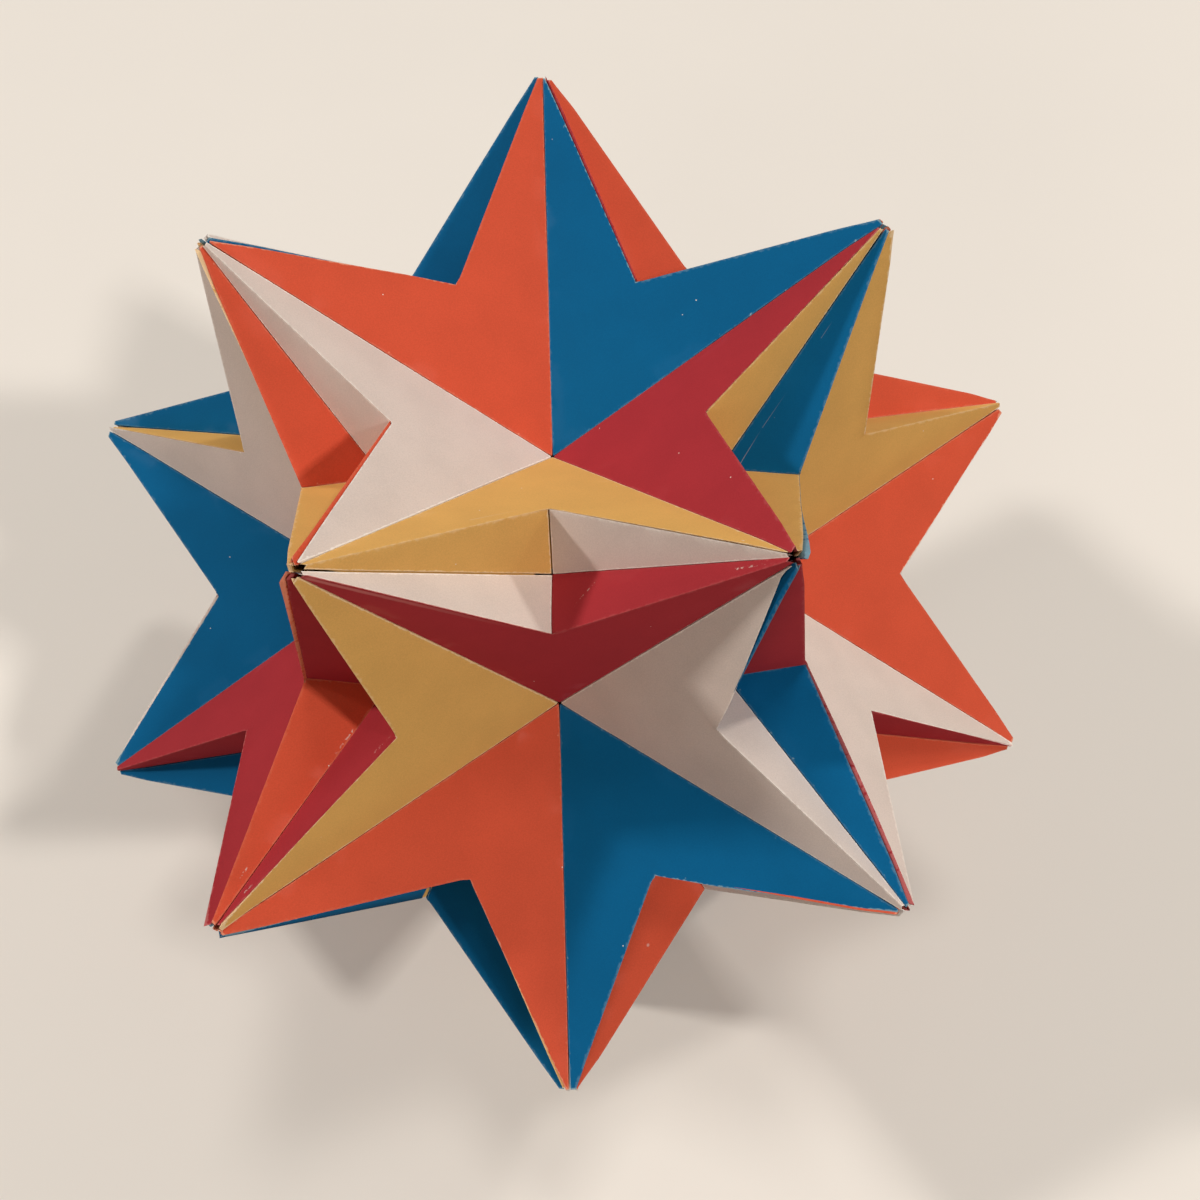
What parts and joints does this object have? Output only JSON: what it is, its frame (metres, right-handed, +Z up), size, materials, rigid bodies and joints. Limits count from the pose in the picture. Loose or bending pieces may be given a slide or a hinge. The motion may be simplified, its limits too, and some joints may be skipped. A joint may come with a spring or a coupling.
{
  "type": "folded card star",
  "caption": "Hollow star-shaped polyhedron model of crossed tetrahedra, cut, folded and glued from coloured card, with blunt tips, sunken stars and small pits. Stands on its tips.",
  "frame": {"origin": "on the table, under the centre of the star, in the plane of the lowest tips", "axes": "+Z up along the axis of the sunken star that faces up, +X to the right of a viewer, +Y away from the viewer"},
  "size_m": [0.167, 0.1748, 0.1427],
  "materials": {
    "white_card": "matte",
    "yellow_card": "matte",
    "crimson_card": "matte",
    "blue_card": "matte",
    "orange_card": "matte"
  },
  "bodies": {
    "root": {"white_arms_1": "white_card", "white_arms_2": "white_card", "white_arms_3": "white_card", "white_arms_4": "white_card", "white_walls_1": "white_card", "white_walls_2": "white_card", "white_walls_3": "white_card", "white_walls_4": "white_card", "white_walls_5": "white_card", "white_walls_6": "white_card", "yellow_arms_1": "yellow_card", "yellow_arms_2": "yellow_card", "yellow_arms_3": "yellow_card", "yellow_arms_4": "yellow_card", "yellow_walls_1": "yellow_card", "yellow_walls_2": "yellow_card", "yellow_walls_3": "yellow_card", "yellow_walls_4": "yellow_card", "yellow_walls_5": "yellow_card", "yellow_walls_6": "yellow_card", "crimson_arms_1": "crimson_card", "crimson_arms_2": "crimson_card", "crimson_arms_3": "crimson_card", "crimson_arms_4": "crimson_card", "crimson_walls_1": "crimson_card", "crimson_walls_2": "crimson_card", "crimson_walls_3": "crimson_card", "crimson_walls_4": "crimson_card", "crimson_walls_5": "crimson_card", "crimson_walls_6": "crimson_card", "blue_arms_1": "blue_card", "blue_arms_2": "blue_card", "blue_arms_3": "blue_card", "blue_arms_4": "blue_card", "blue_walls_1": "blue_card", "blue_walls_2": "blue_card", "blue_walls_3": "blue_card", "blue_walls_4": "blue_card", "blue_walls_5": "blue_card", "blue_walls_6": "blue_card", "orange_arms_1": "orange_card", "orange_arms_2": "orange_card", "orange_arms_3": "orange_card", "orange_arms_4": "orange_card", "orange_walls_1": "orange_card", "orange_walls_2": "orange_card", "orange_walls_3": "orange_card", "orange_walls_4": "orange_card", "orange_walls_5": "orange_card", "orange_walls_6": "orange_card"}
  },
  "joints": []
}
